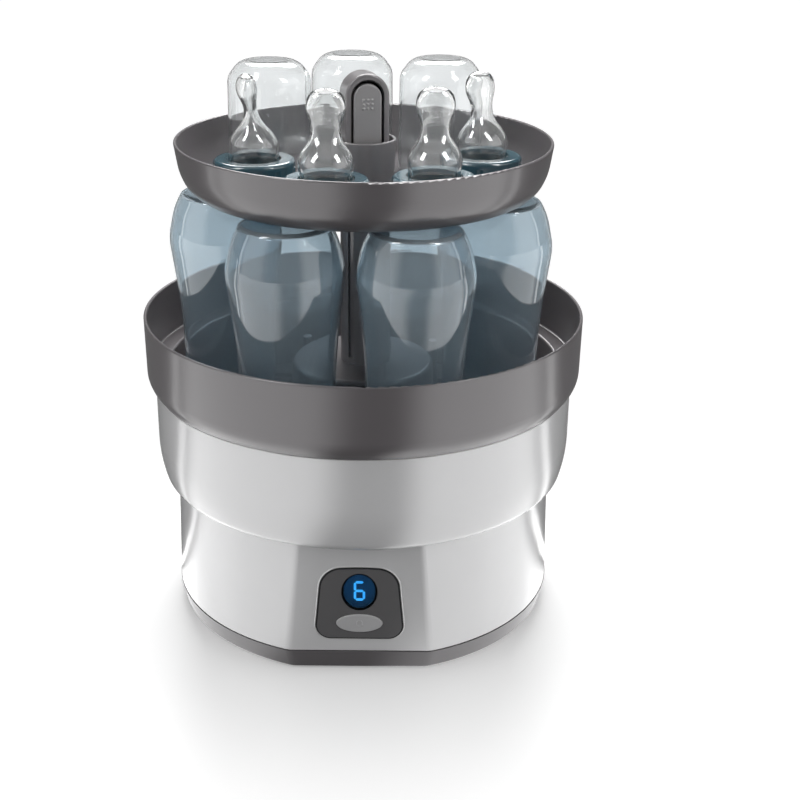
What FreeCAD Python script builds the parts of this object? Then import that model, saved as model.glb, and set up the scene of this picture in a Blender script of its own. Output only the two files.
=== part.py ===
import FreeCAD, Part
import math
import os

os.makedirs("parts", exist_ok=True)

V = FreeCAD.Vector
UP = V(0, 0, 1)
TO_BACK = V(0, 1, 0)
TO_SIDE = V(1, 0, 0)
CENTRE = V(0, 0, 0)

# Clearances
slide_gap = 0.6
skirt_gap = 0.4
locate_gap = 0.3
hole_gap = 0.2
fit_gap = 0.1
running_gap = 0.06

# How far a cutter runs past an open face
cut_past = 5.0

# Bottles, which set the radii of the basket and the housing
bottle_r = 35.6
bottle_height = 152.6
bottle_wall = 1.6
bottle_base_wall = 2.2
bottle_base_inset = 9.1
bottle_base_r = bottle_r - bottle_base_inset
bottle_base_round = 4.0
bottle_neck_inset = 13.0
bottle_neck_r = bottle_r - bottle_neck_inset
bottle_neck_wall = 2.6
bottle_neck_bore_r = bottle_neck_r - bottle_neck_wall
bottle_neck_height = 13.5
bottle_collar = 1.6
bottle_collar_rise = 1.0
bottle_foot_inset = 6.9
bottle_foot_round = 25.0
bottle_waist_inset = 6.1
bottle_waist_round = 400.0
bottle_side_round = 35.0
bottle_top_inset = 4.0
bottle_top_round = 40.0
thread_depth = 0.7
thread_pitch = 4.5

# Basket round the bottles
bottle_gap = 16.8
place_circle_r = 2 * bottle_r + bottle_gap
first_place_angle = -94.0
place_count = 6
bottle_overhang = 0.5
well_foot_r = place_circle_r + bottle_r - bottle_overhang
well_draft = 2.1
well_r = well_foot_r + well_draft
well_wall = 2.1
well_round = 3.5
neck_margin = 6.4
neck_r = well_r + neck_margin
basket_overhang = 8.6
basket_r = neck_r + basket_overhang
basket_wall = 2.2
basket_draft = 0.7
basket_side_draft = 0.5
basket_turn_in = 4.8
basket_turn_rise = 6.9
basket_turn_round = 14.0
ledge_round = 1.4
flange_wall = 1.6
floor_wall = 2.0
rack_seat = 1.2
rack_seat_width = 9.1
rack_seat_r = well_foot_r - rack_seat_width
hub_room = 38.5
hub_foot_r = place_circle_r - hub_room
hub_draft = 3.7
hub_top_r = hub_foot_r - hub_draft
hub_round = 3.0
hub_floor = 2.5
hub_rim_room = 1.0
peg_r = 5.0
peg_taper = 1.5
peg_height = 31.5
rib_count = 3
rib_height = 3.0
rib_wall = 2.0
rib_inset = 2.1
rib_end = bottle_r - rib_inset
steam_hole_r = 4.0
steam_hole_count = 6
steam_circle_r = 15.0

# Housing and foot
wall = 2.4
neck_wall = 1.8
shoulder_width = 3.1
bowl_r = neck_r + shoulder_width
step_inset = 11.8
step_r = bowl_r - step_inset
body_draft = 2.3
seam_r = step_r + body_draft
foot_draft = 2.6
foot_r = seam_r - foot_draft
flat_inset = 8.2
flat_y = flat_inset - seam_r
foot_z = 1.2
foot_round = 0.9
foot_flat_inset = 1.6
seam_inset = 0.3
groove_depth = 1.2
groove_height = 0.7
tongue_height = 4.0
flat_swell = 0.3
flat_corner_r = 12.0
step_lip = 1.2
bowl_foot_inset = 4.1
bowl_foot_rise = 2.5
bowl_foot_round = 8.0
bowl_side_rise = 19.0
bowl_side_round = 80.0
shoulder_round = 0.5
neck_taper = 4.0

# Levels, from the foot up to the bottles' tops
seam_z = 14.2
step_rise = 74.3
step_z = seam_z + step_rise
shoulder_rise = 63.0
shoulder_z = step_z + shoulder_rise
neck_rise = 9.5
neck_z = shoulder_z + neck_rise
ledge_rise = 3.8
ledge_z = neck_z + ledge_rise
basket_height = 46.9
basket_rim_z = shoulder_z + basket_height
bowl_floor_rise = 15.5
bowl_floor_z = step_z + bowl_floor_rise
basket_floor_rise = 14.0
basket_floor_z = bowl_floor_z + basket_floor_rise
dish_drop = 10.0
dish_z = bowl_floor_z - dish_drop
hub_rise = 45.5
hub_z = basket_floor_z + hub_rise
bottle_mouth_z = basket_floor_z + rib_height
bottle_top_gap = 1.9
column_top_z = bottle_mouth_z + bottle_height + bottle_top_gap
tray_rise = 32.2
tray_rim_z = column_top_z + tray_rise
tongs_rise = 39.9
tongs_top_z = tray_rim_z + tongs_rise

# Water bowl and heating plate
bowl_wall = 1.6
bowl_draft = 1.4
bowl_round = 8.0
bowl_floor_wall = 2.0
plate_wall = 1.0
dish_r = 56.0
plate_rim = 10.5
plate_r = dish_r + plate_rim
plate_hole_gap = 4.5
plate_hole_r = dish_r + plate_hole_gap
dish_round = 3.0
seal_wall = 1.2
seal_bore_gap = 2.5
seal_bore_r = dish_r + seal_bore_gap
clamp_wall = 1.2
clamp_bore_gap = 4.0
clamp_bore_r = dish_r + clamp_bore_gap
clamp_rim = 5.0
plate_screw_reach = 15.0
plate_screw_circle_r = dish_r + plate_screw_reach
plate_screw_count = 3
plate_screw_length = 8.0
dome_height = 4.0
boss_r = 3.6

# Heating element, thermostat and fuse
element_inset = 16.0
element_r = dish_r - element_inset
element_tube_r = 3.3
terminal_angle = 12.0
terminal_r = 2.2
terminal_length = 17.0
lead_r = 1.4
lead_bend_r = 7.0
lead_drop = 20.0
thermostat_r = 9.0
thermostat_height = 9.0
tab_length = 9.0
tab_width = 6.0
tab_wall = 0.8
tab_x = 5.0
fuse_r = 2.2
fuse_length = 12.0
fuse_wire_r = 0.6
fuse_wire_length = 5.5
fuse_y = 20.0

# Power board
power_board_z = 14.0
power_board_width = 76.0
power_board_depth = 54.0
power_board_y = -30.0
board_wall = 1.6
board_inset = 4.5
board_post_r = 3.0
board_screw_length = 7.0
relay_width = 16.0
relay_depth = 20.0
relay_height = 15.0
relay_x = -20.0
terminal_block_width = 24.0
terminal_block_depth = 12.0
terminal_block_x = 18.0
terminal_block_y = -18.0
terminal_cup_r = 2.6
terminal_cup_depth = 6.0
terminal_pitch = 6.0

# Fasteners, feet and vents
screw_r = 1.5
screw_head_r = 2.9
screw_head = 1.9
screw_slot = 0.8
post_r = 4.2
post_rise = 7.8
post_low_z = seam_z + post_rise
post_pilot = 12.0
post_height = 24.0
web_wall = 2.0
cover_screw_inset = 22.2
cover_screw_circle_r = seam_r - cover_screw_inset
cover_screw_z = 12.0
cover_screw_length = 20.0
foot_pad_r = 8.0
foot_pad_sink = 1.2
foot_pad_round = 0.5
foot_pad_inset = 25.2
foot_pad_circle_r = seam_r - foot_pad_inset
vent_y = 55.0
vent_pitch = 7.0
vent_width = 3.0
vent_length = 44.0
vent_count = 7

# Cord gland
gland_rise = 15.8
gland_z = seam_z + gland_rise
gland_bore_r = 3.1
gland_sink = 1.8
gland_flange_y = seam_r - gland_sink
gland_flange_r = 8.4
gland_flange = 2.6
gland_neck_r = 5.8
gland_neck_length = 11.2
gland_pad_r = 11.0
gland_pad = 3.9
gland_nut_r = 8.6
gland_nut_height = 3.0

# Loose parts on the tray, and the tray round them
cap_r = 27.0
cap_height = 71.0
cap_side_inset = 0.7
cap_side_drop = 10.5
cap_side_round = 10.0
cap_top_inset = 8.5
cap_top_round = 12.0
cap_wall = 1.5
ring_r = 25.0
ring_height = 20.5
ring_wall = 2.0
ring_round = 2.8
ring_hole_r = 16.6
flute_count = 18
flute_r = 4.0
flute_depth = 0.6
flute_foot = 1.5
teat_wall = 1.6
teat_flange_r = 21.5
load_gap = 20.0
load_circle_r = cap_r + ring_r + load_gap
tray_margin = 19.3
tray_r = load_circle_r + ring_r + tray_margin

# Each teat's sections: height over the ring, half width from the front, half depth from the side, lean
teat_sections = [(-2.5, 15.6, 15.5, 0.0), (3.0, 15.6, 15.4, 0.0), (8.5, 16.2, 15.3, 0.0), (14.0, 14.6, 12.8, 0.2),
                 (19.0, 11.2, 8.4, 0.5), (24.0, 8.9, 5.2, 0.9), (29.0, 8.6, 4.0, 1.3), (35.0, 10.4, 4.8, 2.2),
                 (41.0, 11.4, 6.3, 3.2), (46.0, 10.0, 5.6, 3.6), (49.0, 6.4, 3.6, 3.7), (50.2, 2.4, 1.4, 3.7)]
teat_hollow_end = (47.2, 5.6, 2.6, 3.6)

# Places by angle from the front and distance outside their circle, and each teat's own turn
bottle_places = {"left": (-89.41, -0.90), "front_left": (-30.51, -0.94),
                 "front_right": (20.95, 1.20), "right": (79.50, -4.60)}
cap_places = {"left": (-120.91, -1.14), "middle": (-172.05, -3.34), "right": (137.24, -1.45)}
teat_places = {"left": (-76.15, -3.51, 90.0), "front_left": (-17.38, -3.37, 0.0),
               "front_right": (36.63, -1.60, 0.0), "right": (90.40, 0.50, 45.0)}

# Column
column_r = 15.0
column_bore_r = 12.7
spigot_r = 12.6
spigot_wall = 2.4
spigot_length = 21.0
spigot_z = hub_z - spigot_length
spigot_floor = 8.0
column_screw_length = 9.0
column_groove_angle = -33.0
column_groove_width = 4.0
column_groove_depth = 1.5
column_groove_end = 4.0

# Tray and tongs socket
tray_wall = 2.0
tray_foot_inset = 13.7
tray_foot_round = 12.0
tray_bend_inset = 6.1
tray_bend_rise = 6.8
tray_bend_round = 20.0
tray_side_inset = 2.4
tray_side_rise = 15.6
tray_side_round = 30.0
tray_floor_z = column_top_z + tray_wall
socket_r = 19.6
socket_draft = 1.2
socket_inner_r = 17.4
socket_inner_draft = 0.4
socket_lip_rise = 1.0
socket_spigot_r = 12.3
socket_bore_r = 10.7
socket_spigot_length = 15.5
socket_floor = 2.0

# Tongs, drawn facing -Y and then turned
tongs_turn = 14.0
tongs_width = 27.4
tongs_depth = 19.0
tongs_round = 1.6
pocket_width = 20.8
pocket_back_y = 3.0
lining_wall = 0.8
lining_inset = 0.8
lining_rise = 4.5
lever_width = 17.4
lever_drop = 5.8
lever_top_z = tongs_top_z - lever_drop
lever_front_y = -10.0
lever_back_y = -4.5
lever_round = 1.2
lever_tail = 13.0
grip_dot_r = 0.85
grip_dot_pitch = 2.6
grip_dot_drop = 9.5
arm_width = 12.0
arm_wall = 3.0
arm_reach = 60.5
arm_end_z = column_top_z - arm_reach
arm_gap = 2.5
pin_rise = 24.5
pin_z = column_top_z + pin_rise
pin_y = -3.0
pin_r = 1.5
pin_length = 25.6
pin_boss_r = 3.6
spring_wire_r = 0.45
spring_turns = 3
spring_leg = 8.5

# Control panel
panel_proud = 0.8
panel_wall = 2.3
panel_depth = 4.8
panel_rise = 9.5
panel_low_z = seam_z + panel_rise
panel_height = 47.7
panel_high_z = panel_low_z + panel_height
panel_low_half = 26.8
panel_high_half = 22.4
panel_low_corner = 8.5
panel_high_corner = 13.0
panel_arch = 1.6
panel_flange = 3.0
panel_skirt = 2.0
panel_post_r = 2.4
panel_post_x = 20.5
panel_post_rise = 5.3
panel_post_z = panel_low_z + panel_post_rise
panel_post_high_x = 16.5
panel_post_drop = 9.4
panel_post_high_z = panel_high_z - panel_post_drop
gasket_wall = 1.0
gasket_proud = 0.3
window_half_width = 11.0
window_half_height = 12.7
window_drop = 15.6
window_z = panel_high_z - window_drop
window_wall = 1.5
window_ledge = 1.2
digit_height = 13.4
digit_width = 6.9
segment_width = 1.5
segment_depth = 0.4
segment_gap = 0.5

# Button and control board
button_half_width = 14.15
button_half_height = 6.2
button_rise = 10.4
button_z = panel_low_z + button_rise
button_proud = 0.6
button_round = 0.5
button_flange = 1.3
button_flange_wall = 0.9
button_travel = 1.0
stem_r = 2.4
stem_length = 2.8
plunger_r = 1.6
switch_width = 6.0
switch_height = 3.5
sign_r = 1.9
sign_line_r = 0.28
sign_gap = 1.6
sign_bar = 2.0
control_board_sink = 10.0
control_board_y = flat_y + control_board_sink
control_board_width = 48.0
control_board_margin = 0.3
control_board_low_z = panel_low_z + control_board_margin
control_board_high_z = panel_high_z + 2 * control_board_margin
panel_screw_length = 5.0

# Levels and faces that follow from the sizes above
board_top = power_board_z + board_wall
skirt_z = shoulder_z + skirt_gap
bowl_low_z = bowl_floor_z - bowl_floor_wall
plate_top = bowl_low_z - seal_wall
plate_low = plate_top - plate_wall
clamp_low = plate_low - clamp_wall
dish_low = dish_z - plate_wall
socket_floor_z = tray_floor_z + socket_floor
panel_front_y = flat_y - panel_proud
panel_inner_y = panel_front_y + panel_wall
panel_back_y = panel_front_y + panel_depth
button_front_y = panel_front_y - button_proud
switch_front_y = control_board_y - switch_height


def save(name, shape):
    shape.exportStep("parts/" + name + ".step")
    print(name, round(shape.Volume / 1000.0, 2), "cm3", shape.isValid(), len(shape.Solids))


def point(r, z):
    return V(r, 0, z)


def rounded_corner(here, corner, after, radius):
    """The run up to a corner, the arc round it, and the place where the arc ends."""
    back = (here - corner).normalize()
    ahead = (after - corner).normalize()
    half_turn = (math.pi - back.getAngle(ahead)) / 2
    reach = radius * math.tan(half_turn)
    middle = (back + ahead).normalize() * (radius / math.cos(half_turn) - radius)
    start = corner + back * reach
    end = corner + ahead * reach
    return [Part.makeLine(here, start), Part.Arc(start, corner + middle, end).toShape()], end


def rounded_path(corners, radius):
    """Straight runs joined by tangent arcs."""
    edges = []
    here = corners[0]
    for corner, after in zip(corners[1:], corners[2:]):
        runs, here = rounded_corner(here, corner, after, radius)
        edges += runs
    edges.append(Part.makeLine(here, corners[-1]))
    return Part.Wire(edges)


def turned(start, *steps):
    """Turn one closed outline about the Z axis.

    A step is ("to", r, z), ("to", r, z, the corner's radius) or ("arc", r, z, r, z).
    """
    first = point(*start)
    here = first
    edges = []
    for i, step in enumerate(steps):
        if step[0] == "arc":
            end = point(step[3], step[4])
            edges.append(Part.Arc(here, point(step[1], step[2]), end).toShape())
            here = end
        elif len(step) == 4:
            after = point(*steps[i + 1][1:3]) if i + 1 < len(steps) else first
            runs, here = rounded_corner(here, point(step[1], step[2]), after, step[3])
            edges += runs
        else:
            end = point(step[1], step[2])
            edges.append(Part.makeLine(here, end))
            here = end
    if here.distanceToPoint(first) > 0.0001:
        edges.append(Part.makeLine(here, first))
    shape = Part.Face(Part.Wire(edges)).revolve(CENTRE, UP, 360)
    if shape.Volume < 0:
        shape.reverse()
    return Part.Solid(shape.Shells[0]) if shape.ShapeType != "Solid" else shape


def rounded(corners):
    """Steps of an outline through rounded corners."""
    return [("to", r, z, radius) for r, z, radius in corners]


def inset(before, corners, after, distance):
    """The corners of the wall's other side, to the left of the way that they run, in the opposite order."""
    places = [before] + [(r, z) for r, z, radius in corners] + [after]
    result = []
    for (r0, z0), (r, z, radius), (r2, z2) in zip(places, corners, places[2:]):
        first = math.atan2(z - z0, r - r0)
        second = math.atan2(z2 - z, r2 - r)
        middle = (first + second) / 2
        reach = distance / math.cos((second - first) / 2)
        grow = distance if second < first else -distance
        result.append((r - reach * math.sin(middle), z + reach * math.cos(middle), radius + grow))
    return result[::-1]


def ring(outer, inner, z0, z1):
    return Part.makeCylinder(outer, z1 - z0, V(0, 0, z0)).cut(Part.makeCylinder(inner, z1 - z0, V(0, 0, z0)))


def disc(r, z0, z1, x=0.0, y=0.0):
    return Part.makeCylinder(r, z1 - z0, V(x, y, z0))


def hole(r, z0, z1, x=0.0, y=0.0):
    """A cutter for a hole right through from z0 to z1."""
    return disc(r, z0 - 1, z1 + 1, x, y)


def rod(r, y0, y1, x, z):
    """A cylinder along the Y axis."""
    return Part.makeCylinder(r, y1 - y0, V(x, y0, z), TO_BACK)


def crossbar(r, x0, x1, y, z):
    """A cylinder along the X axis."""
    return Part.makeCylinder(r, x1 - x0, V(x0, y, z), TO_SIDE)


def block(x0, x1, y0, y1, z0, z1):
    return Part.makeBox(x1 - x0, y1 - y0, z1 - z0, V(x0, y0, z0))


def around(radius, angle):
    """A place on a circle, with the angle counted from the front."""
    turn = math.radians(angle)
    return radius * math.sin(turn), -radius * math.cos(turn)


def moved(shape, x, y, z, turn=0.0):
    copy = shape.copy()
    copy.rotate(CENTRE, UP, turn)
    copy.translate(V(x, y, z))
    return copy


def joined(shapes):
    return shapes[0].fuse(shapes[1:]).removeSplitter()


def flat_section(radius, flat, corner, z):
    """A circle with a flat front whose two ends are rounded."""
    middle_y = flat + corner
    middle_x = math.sqrt((radius - corner) ** 2 - middle_y ** 2)
    outwards = V(middle_x, middle_y, 0).normalize()
    halfway = (outwards + V(0, -1, 0)).normalize()
    middle = V(middle_x, middle_y, z)
    side = middle + outwards * corner
    bend = middle + halfway * corner
    mirrored = [V(-p.x, p.y, z) for p in (side, bend)]
    front = Part.makeLine(V(-middle_x, flat, z), V(middle_x, flat, z))
    right = Part.Arc(V(middle_x, flat, z), bend, side).toShape()
    back = Part.Arc(side, V(0, radius, z), mirrored[0]).toShape()
    left = Part.Arc(mirrored[0], mirrored[1], V(-middle_x, flat, z)).toShape()
    return Part.Wire([front, right, back, left])


def flat_body(corner, *stations):
    """A round body with a flat front, drawn straight through stations of (z, radius, the flat's Y)."""
    return Part.makeLoft([flat_section(r, flat, corner, z) for z, r, flat in stations], True, True)


def oval(half_width, half_height, z, y0, y1):
    """An upright elliptical plate across the Y axis, wider than it is high or the other way round."""
    if half_width > half_height:
        curve = Part.Ellipse(V(half_width, y0, z), V(0, y0, z + half_height), V(0, y0, z))
    else:
        curve = Part.Ellipse(V(0, y0, z + half_height), V(half_width, y0, z), V(0, y0, z))
    return Part.Face(Part.Wire(curve.toShape())).extrude(V(0, y1 - y0, 0))


def arch(width, top_z, low_z, y0, y1):
    """An upright slab with a round top, across the Y axis."""
    half = width / 2
    middle = top_z - half
    sides = [V(-half, y0, middle), V(-half, y0, low_z), V(half, y0, low_z), V(half, y0, middle)]
    edges = [Part.makeLine(sides[i], sides[i + 1]) for i in range(3)]
    edges.append(Part.Arc(sides[3], V(0, y0, top_z), sides[0]).toShape())
    return Part.Face(Part.Wire(edges)).extrude(V(0, y1 - y0, 0))


def screw(x, y, z_head, length, direction=1):
    """A pan-head screw whose head's bearing face is at z_head, pointing up or down."""
    head = Part.makeCylinder(screw_head_r, screw_head, V(x, y, z_head), V(0, 0, -direction))
    shank = Part.makeCylinder(screw_r, length, V(x, y, z_head), V(0, 0, direction))
    tip_z = z_head - direction * screw_head
    half = screw_slot / 2
    slot = block(x - screw_head_r, x + screw_head_r, y - half, y + half, tip_z - half, tip_z + half)
    return head.fuse(shank).cut(slot)


# ---- Housing and foot ----

def cover_screw_places():
    return [around(cover_screw_circle_r, angle) for angle in (40, 140, 220, 320)]


def foot_places():
    return [around(foot_pad_circle_r, angle) for angle in (25, 155, 205, 335)]


def board_post_places():
    reach_x = power_board_width / 2 - board_inset
    reach_y = power_board_depth / 2 - board_inset
    return [(x, power_board_y + y) for x in (-reach_x, reach_x) for y in (-reach_y, reach_y)]


def body_outline(inset_by, z0, z1):
    """The flat-fronted lower body, or its hollow, which narrows a little towards the step."""
    low_r = seam_r - seam_inset - inset_by
    return flat_body(flat_corner_r - inset_by, (z0, low_r, flat_y + inset_by), (z1, step_r - inset_by, flat_y + inset_by))


def bowl_housing():
    """The round upper housing, which stands on the lower one and carries the water bowl."""
    middle = shoulder_round * (1 - math.sqrt(0.5))
    neck_bore_r = neck_r - neck_wall
    taper_z = shoulder_z - neck_taper
    lip = (step_r + step_lip, step_z)
    top = (bowl_r, shoulder_z - shoulder_round)
    side = [(bowl_r - bowl_foot_inset, step_z + bowl_foot_rise, bowl_foot_round),
            (bowl_r, step_z + bowl_side_rise, bowl_side_round)]
    bowl = turned(
        (0, step_z), ("to", *lip), *rounded(side), ("to", *top),
        ("arc", bowl_r - middle, shoulder_z - middle, bowl_r - shoulder_round, shoulder_z),
        ("to", neck_r, shoulder_z), ("to", neck_r, neck_z), ("to", 0, neck_z))
    hollow = turned(
        (0, neck_z + 1), ("to", neck_bore_r, neck_z + 1), ("to", neck_bore_r, taper_z + wall),
        ("to", bowl_r - wall, taper_z), *rounded(inset(lip, side, top, wall)),
        ("to", step_r + step_lip, step_z + wall), ("to", 0, step_z + wall))
    return bowl.cut([hollow, body_outline(wall, step_z - 1, step_z + wall + 1)])


def base_housing():
    shell = body_outline(0, seam_z, step_z).cut(body_outline(wall, seam_z - 1, step_z + 1))
    shell = shell.cut(panel_block(gasket_wall, flat_y - cut_past, flat_y + wall + 1))
    pad = rod(gland_pad_r, gland_flange_y - gland_pad, gland_flange_y, 0, gland_z)
    seat = rod(gland_flange_r + fit_gap, gland_flange_y, gland_flange_y + gland_flange + wall, 0, gland_z)
    bore = rod(gland_neck_r + fit_gap, gland_flange_y - gland_neck_length, gland_flange_y + 1, 0, gland_z)
    posts = []
    pilots = []
    post_top_z = post_low_z + post_height
    web_end_r = (seam_r - seam_inset + step_r - wall) / 2
    for x, y in cover_screw_places():
        posts.append(disc(post_r, post_low_z, post_top_z, x, y))
        web = block(0, web_end_r - cover_screw_circle_r, -web_wall / 2, web_wall / 2, post_low_z, post_top_z)
        posts.append(moved(web, x, y, 0, math.degrees(math.atan2(y, x))))
        pilots.append(disc(screw_r, post_low_z - 1, post_low_z + post_pilot, x, y))
    return joined([shell, pad] + posts).cut(pilots + [seat, bore])


def bottom_cover():
    groove_z = seam_z - groove_height
    foot_flat = flat_y + foot_flat_inset
    groove_r = seam_r - groove_depth
    groove_flat = flat_y + groove_depth
    tongue_r = seam_r - seam_inset - wall - locate_gap
    tongue_flat = flat_y + wall + locate_gap
    tongue_z = seam_z + tongue_height
    inner_r = tongue_r - wall
    inner_flat = tongue_flat + wall
    skin = flat_body(flat_corner_r, (foot_z, foot_r - foot_round, foot_flat + foot_round),
                     (foot_z + foot_round, foot_r, foot_flat), (groove_z, seam_r, flat_y - flat_swell))
    neck = flat_body(flat_corner_r, (groove_z - 1, groove_r, groove_flat), (seam_z, groove_r, groove_flat))
    tongue = flat_body(flat_corner_r - wall, (foot_z + wall, tongue_r, tongue_flat), (tongue_z, tongue_r, tongue_flat))
    cavity = flat_body(flat_corner_r - 2 * wall, (foot_z + wall, inner_r, inner_flat),
                       (tongue_z + 1, inner_r, inner_flat))
    body = joined([skin, neck, tongue]).cut(cavity)
    posts = [disc(post_r, foot_z + wall / 2, post_low_z, x, y) for x, y in cover_screw_places()]
    posts += [disc(board_post_r, foot_z + wall / 2, power_board_z, x, y) for x, y in board_post_places()]
    holes = []
    for x, y in cover_screw_places():
        holes.append(disc(screw_head_r + locate_gap, 0, cover_screw_z, x, y))
        holes.append(hole(screw_r + hole_gap, cover_screw_z, post_low_z, x, y))
    for x, y in board_post_places():
        holes.append(disc(screw_r, board_top - board_screw_length - 1, power_board_z + 1, x, y))
    for x, y in foot_places():
        holes.append(disc(foot_pad_r + fit_gap, 0, foot_z + foot_pad_sink, x, y))
    for i in range(vent_count):
        middle = vent_y + (i - (vent_count - 1) / 2) * vent_pitch
        holes.append(block(-vent_length / 2, vent_length / 2, middle - vent_width / 2, middle + vent_width / 2,
                           0, foot_z + wall + 1))
    return joined([body] + posts).cut(holes)


def rubber_feet():
    pads = []
    for x, y in foot_places():
        pad = disc(foot_pad_r, 0, foot_z + foot_pad_sink, x, y)
        pads.append(pad.makeFillet(foot_pad_round, [e for e in pad.Edges if e.BoundBox.ZMax < foot_z / 2]))
    return Part.makeCompound(pads)


def bottom_screws():
    return Part.makeCompound([screw(x, y, cover_screw_z, cover_screw_length) for x, y in cover_screw_places()])


# ---- Water bowl and heater ----

def plate_screw_places():
    return [around(plate_screw_circle_r, (i + 0.5) * 360 / plate_screw_count) for i in range(plate_screw_count)]


def water_bowl():
    mouth_r = neck_r - neck_wall - hole_gap
    foot_r_outside = mouth_r - bowl_draft
    flange_z = neck_z + flange_wall
    body = turned(
        (neck_r - fit_gap, neck_z), ("to", neck_r - fit_gap, flange_z), ("to", mouth_r - bowl_wall, flange_z),
        ("to", foot_r_outside - bowl_wall, bowl_floor_z, bowl_round), ("to", plate_hole_r, bowl_floor_z),
        ("to", plate_hole_r, bowl_low_z), ("to", foot_r_outside, bowl_low_z, bowl_round + bowl_wall),
        ("to", mouth_r, neck_z))
    domes = [disc(boss_r, bowl_low_z, bowl_floor_z + dome_height, x, y) for x, y in plate_screw_places()]
    bosses = [disc(boss_r, plate_low, bowl_low_z + bowl_floor_wall / 2, x, y) for x, y in plate_screw_places()]
    pilots = [disc(screw_r, plate_low - 1, clamp_low + plate_screw_length + fit_gap, x, y)
              for x, y in plate_screw_places()]
    return joined([body] + domes + bosses).cut(pilots)


def plate_seal():
    lip = ring(plate_hole_r - hole_gap, seal_bore_r, plate_top, bowl_low_z + seal_wall)
    return ring(plate_r, seal_bore_r, plate_top, bowl_low_z).fuse(lip).removeSplitter()


def heating_plate():
    return turned(
        (0, dish_z), ("to", dish_r, dish_z, dish_round), ("to", dish_r, plate_top), ("to", plate_r, plate_top),
        ("to", plate_r, plate_low), ("to", dish_r + plate_wall, plate_low),
        ("to", dish_r + plate_wall, dish_low, dish_round + plate_wall), ("to", 0, dish_low))


def clamp_ring():
    body = ring(plate_screw_circle_r + clamp_rim, clamp_bore_r, clamp_low, plate_low)
    return body.cut([hole(screw_r + hole_gap, clamp_low, plate_low, x, y) for x, y in plate_screw_places()])


def plate_screws():
    return Part.makeCompound([screw(x, y, clamp_low, plate_screw_length) for x, y in plate_screw_places()])


def element_terminal_angles():
    return (180 + terminal_angle, 180 - terminal_angle)


def heating_element():
    height = dish_low - element_tube_r
    section = Part.Face(Part.Wire(Part.Circle(V(element_r, 0, height), TO_BACK, element_tube_r).toShape()))
    tube = section.revolve(CENTRE, UP, 360 - 2 * terminal_angle)
    tube.rotate(CENTRE, UP, 90 + terminal_angle)
    parts = [tube]
    for angle in element_terminal_angles():
        x, y = around(element_r, angle)
        parts.append(disc(terminal_r, height - terminal_length, height, x, y))
        parts.append(Part.makeSphere(element_tube_r, V(x, y, height)))
    return joined(parts)


def thermostat():
    low = dish_low - thermostat_height
    body = disc(thermostat_r, low, dish_low)
    tabs = []
    for x in (-tab_x, tab_x):
        tabs.append(block(x - tab_wall / 2, x + tab_wall / 2, -tab_width / 2, tab_width / 2, low - tab_length, low + 1))
    return joined([body] + tabs)


def thermal_fuse():
    height = dish_low - fuse_r
    reach = fuse_length / 2 + fuse_wire_length
    return joined([crossbar(fuse_r, -fuse_length / 2, fuse_length / 2, fuse_y, height),
                   crossbar(fuse_wire_r, -reach, reach, fuse_y, height)])


# ---- Electronics ----

def power_board():
    half = power_board_width / 2
    depth = power_board_depth / 2
    board = block(-half, half, power_board_y - depth, power_board_y + depth, power_board_z, board_top)
    return board.cut([hole(screw_r + hole_gap, power_board_z, board_top, x, y) for x, y in board_post_places()])


def on_board(x, y, width, depth, height):
    """A box standing on the power board."""
    return block(x - width / 2, x + width / 2, y - depth / 2, y + depth / 2, board_top, board_top + height)


def relay():
    return on_board(relay_x, power_board_y, relay_width, relay_depth, relay_height)


def terminal_block():
    height = terminal_block_depth
    body = on_board(terminal_block_x, terminal_block_y, terminal_block_width, terminal_block_depth, height)
    low = board_top + height - terminal_cup_depth
    cups = [disc(terminal_cup_r, low, board_top + height + 1, terminal_block_x + i * terminal_pitch, terminal_block_y)
            for i in (-1, 0, 1)]
    return body.cut(cups)


def heater_lead(angle, x):
    """A lead from a terminal of the element to the terminal block on the power board."""
    start_x, start_y = around(element_r, angle)
    top = dish_low - element_tube_r - terminal_length
    foot = board_top + terminal_block_depth - terminal_cup_depth
    corners = [V(start_x, start_y, top), V(start_x, start_y, top - lead_drop),
               V(x, terminal_block_y, foot + lead_drop), V(x, terminal_block_y, foot)]
    circle = Part.Wire(Part.Circle(corners[0], UP, lead_r).toShape())
    return rounded_path(corners, lead_bend_r).makePipeShell([circle], True, False)


def heater_leads():
    ends = (terminal_block_x - terminal_pitch, terminal_block_x + terminal_pitch)
    return Part.makeCompound([heater_lead(angle, x) for angle, x in zip(element_terminal_angles(), ends)])


def cord_gland():
    end = gland_flange_y + gland_flange
    start = gland_flange_y - gland_neck_length
    flange = rod(gland_flange_r, gland_flange_y, end, 0, gland_z)
    neck = rod(gland_neck_r, start, gland_flange_y, 0, gland_z)
    return flange.fuse(neck).removeSplitter().cut(rod(gland_bore_r, start - 1, end + 1, 0, gland_z))


def gland_nut():
    back = gland_flange_y - gland_pad
    body = rod(gland_nut_r, back - gland_nut_height, back, 0, gland_z)
    return body.cut(rod(gland_neck_r, back - gland_nut_height - 1, back + 1, 0, gland_z))


# ---- Control panel ----

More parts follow.
